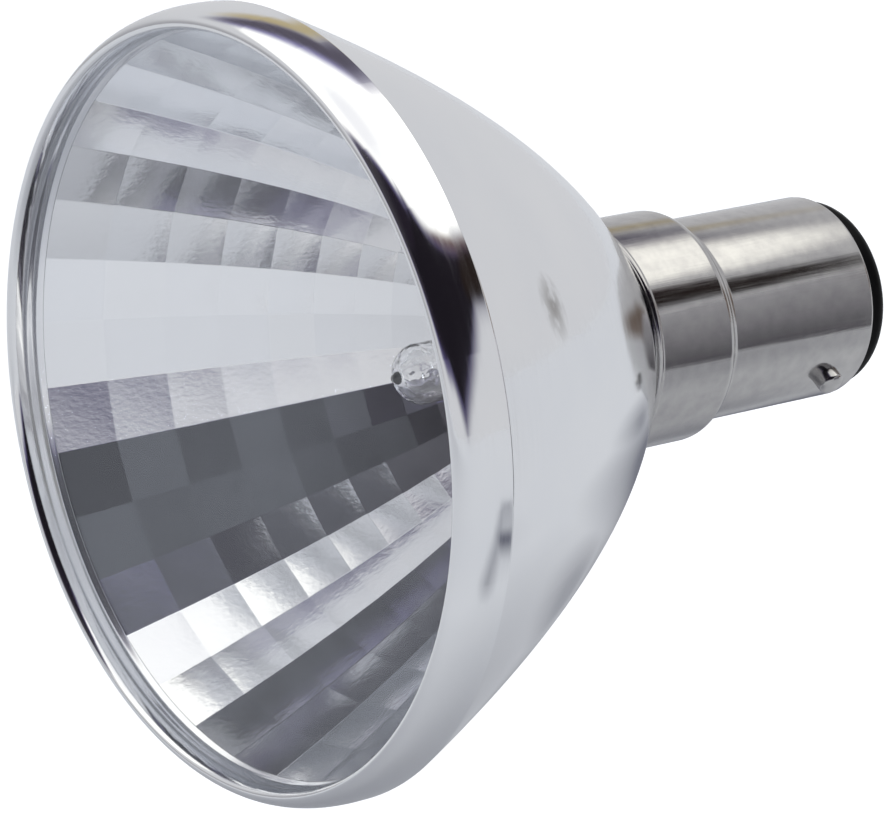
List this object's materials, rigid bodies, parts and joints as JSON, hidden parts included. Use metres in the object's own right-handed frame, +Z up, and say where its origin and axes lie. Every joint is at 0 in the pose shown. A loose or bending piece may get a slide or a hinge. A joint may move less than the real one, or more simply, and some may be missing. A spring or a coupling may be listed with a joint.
{
  "type": "halogen reflector bulb",
  "caption": "Open reflector halogen bulb: a facetted aluminium bowl with a clear quartz capsule on its axis and a bayonet cap at the back for a low-voltage lamp holder.",
  "frame": {"origin": "on the lamp's axis, at the line through the two side pins of the bayonet cap", "axes": "+Y along the lamp's axis from the bowl to the end contacts, so the beam leaves along -Y; +Z up"},
  "size_m": [0.0564, 0.0573, 0.0564],
  "materials": {
    "bowl_aluminium": "bright pressed aluminium, mirror polished",
    "cap_nickel": "nickel plated brass, semi-bright",
    "pin_nickel": "nickel plated brass, worn bright",
    "black_glass": "glossy black glass",
    "contact_brass": "bare brass",
    "solder": "dull tin solder",
    "cement": "matt ceramic cement",
    "quartz": "clear quartz",
    "tungsten": "drawn tungsten wire",
    "lead_metal": "drawn wire and foil"
  },
  "bodies": {
    "root": {"reflector": "bowl_aluminium", "cap_shell": "cap_nickel", "bayonet_pin_a": "pin_nickel", "bayonet_pin_b": "pin_nickel", "insulator": "black_glass", "contact_plate_a": "contact_brass", "contact_plate_b": "contact_brass", "solder_bead_a": "solder", "solder_bead_b": "solder", "cement": "cement", "capsule": "quartz", "filament": "tungsten", "inner_lead_short": "lead_metal", "inner_lead_long": "lead_metal", "foil_a": "lead_metal", "foil_b": "lead_metal", "outer_lead_a": "lead_metal", "outer_lead_b": "lead_metal"}
  },
  "joints": []
}
